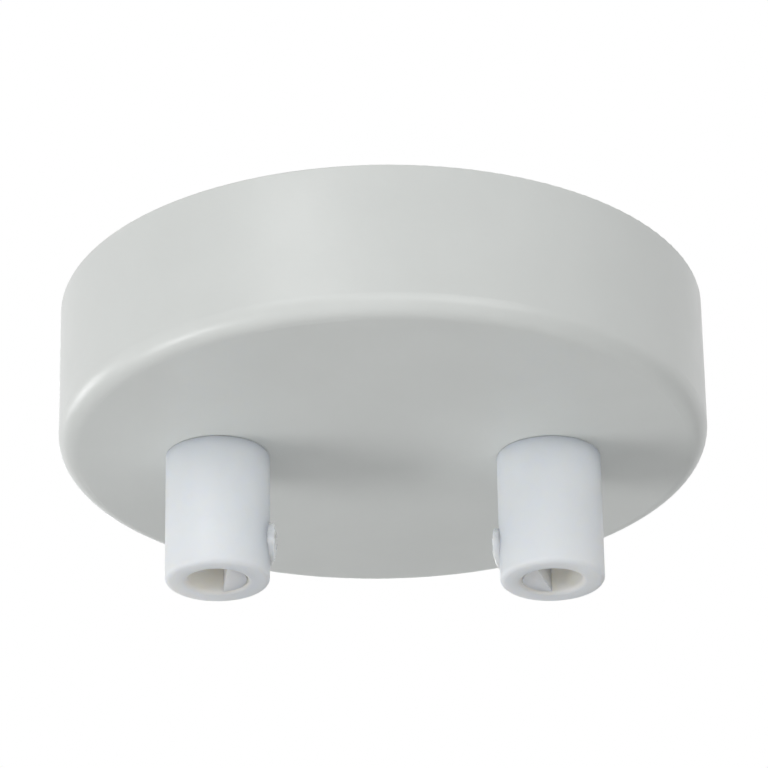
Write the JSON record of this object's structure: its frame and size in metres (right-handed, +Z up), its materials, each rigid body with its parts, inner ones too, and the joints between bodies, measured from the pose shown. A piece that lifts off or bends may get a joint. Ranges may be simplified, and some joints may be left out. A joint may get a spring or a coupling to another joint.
{
  "type": "electrical ceiling rose",
  "caption": "Round shallow metal ceiling rose with hanging cylindrical cord grips, a hidden bracket, side fixing screws and a terminal block inside.",
  "frame": {"origin": "centre of the ceiling plane, on the upper face of the mounting bracket", "axes": "+Z up into the ceiling, the outlets lie on X with the left one at -X, the viewer stands on -Y and looks up"},
  "size_m": [0.1, 0.1, 0.045],
  "materials": {
    "satin_white_paint": "satin powder coat",
    "white_nylon": "moulded, faintly translucent",
    "natural_nylon": "moulded, translucent",
    "zinc_plated_steel": "zinc plated",
    "plated_screw": "bright plated",
    "terminal_plastic": "moulded polyamide",
    "brass": "turned"
  },
  "bodies": {
    "ceiling_rose": {"canopy": "satin_white_paint", "mounting_bracket": "zinc_plated_steel", "terminal_housing": "terminal_plastic", "earth_washer": "brass", "terminal_insert_left": "brass", "terminal_insert_middle": "brass", "terminal_insert_right": "brass", "left_cord_grip": "white_nylon", "left_lock_washer": "zinc_plated_steel", "left_stem_nut": "zinc_plated_steel", "left_block_screw": "plated_screw", "right_cord_grip": "white_nylon", "right_lock_washer": "zinc_plated_steel", "right_stem_nut": "zinc_plated_steel", "right_block_screw": "plated_screw"},
    "left_jaw": {"left_cord_jaw": "white_nylon"},
    "left_clamp": {"left_clamp_screw": "natural_nylon"},
    "right_jaw": {"right_cord_jaw": "white_nylon"},
    "right_clamp": {"right_clamp_screw": "natural_nylon"},
    "left_side_screw": {"left_side_screw": "plated_screw"},
    "right_side_screw": {"right_side_screw": "plated_screw"},
    "terminal_screw_left_front": {"terminal_screw_left_front": "plated_screw"},
    "terminal_screw_left_rear": {"terminal_screw_left_rear": "plated_screw"},
    "terminal_screw_middle_front": {"terminal_screw_middle_front": "plated_screw"},
    "terminal_screw_middle_rear": {"terminal_screw_middle_rear": "plated_screw"},
    "terminal_screw_right_front": {"terminal_screw_right_front": "plated_screw"},
    "terminal_screw_right_rear": {"terminal_screw_right_rear": "plated_screw"},
    "earth_screw": {"earth_screw": "brass"}
  },
  "joints": [
    {"name": "left_jaw_slide", "type": "slide", "parent": "ceiling_rose", "child": "left_jaw", "axis": [-0.9976, -0.0698, 0], "range_m": [0, 0.0008]},
    {"name": "left_clamp_turn", "type": "hinge", "parent": "left_jaw", "child": "left_clamp", "pos_m": [-0.0255, 0, -0.0384], "axis": [-0.9976, -0.0698, 0], "range_deg": [0, 411.43]},
    {"name": "right_jaw_slide", "type": "slide", "parent": "ceiling_rose", "child": "right_jaw", "axis": [0.9511, -0.309, 0], "range_m": [0, 0.0008]},
    {"name": "right_clamp_turn", "type": "hinge", "parent": "right_jaw", "child": "right_clamp", "pos_m": [0.0255, 0, -0.0384], "axis": [0.9511, -0.309, 0], "range_deg": [0, 411.43]},
    {"name": "left_side_screw_travel", "type": "slide", "parent": "ceiling_rose", "child": "left_side_screw", "axis": [1, 0, 0], "range_m": [0, 0.0026]},
    {"name": "right_side_screw_travel", "type": "slide", "parent": "ceiling_rose", "child": "right_side_screw", "axis": [-1, 0, 0], "range_m": [0, 0.0026]},
    {"name": "terminal_screw_left_front_travel", "type": "slide", "parent": "ceiling_rose", "child": "terminal_screw_left_front", "axis": [0, 0, 1], "range_m": [0, 0.0022]},
    {"name": "terminal_screw_left_rear_travel", "type": "slide", "parent": "ceiling_rose", "child": "terminal_screw_left_rear", "axis": [0, 0, 1], "range_m": [0, 0.0022]},
    {"name": "terminal_screw_middle_front_travel", "type": "slide", "parent": "ceiling_rose", "child": "terminal_screw_middle_front", "axis": [0, 0, 1], "range_m": [0, 0.0022]},
    {"name": "terminal_screw_middle_rear_travel", "type": "slide", "parent": "ceiling_rose", "child": "terminal_screw_middle_rear", "axis": [0, 0, 1], "range_m": [0, 0.0022]},
    {"name": "terminal_screw_right_front_travel", "type": "slide", "parent": "ceiling_rose", "child": "terminal_screw_right_front", "axis": [0, 0, 1], "range_m": [0, 0.0022]},
    {"name": "terminal_screw_right_rear_travel", "type": "slide", "parent": "ceiling_rose", "child": "terminal_screw_right_rear", "axis": [0, 0, 1], "range_m": [0, 0.0022]},
    {"name": "earth_screw_travel", "type": "slide", "parent": "ceiling_rose", "child": "earth_screw", "axis": [0, 0, -1], "range_m": [0, 0.001]}
  ],
  "couplings": [
    {"joint": "left_clamp_turn", "follows": "left_jaw_slide", "rad_per_m": 8976},
    {"joint": "right_clamp_turn", "follows": "right_jaw_slide", "rad_per_m": 8976}
  ]
}
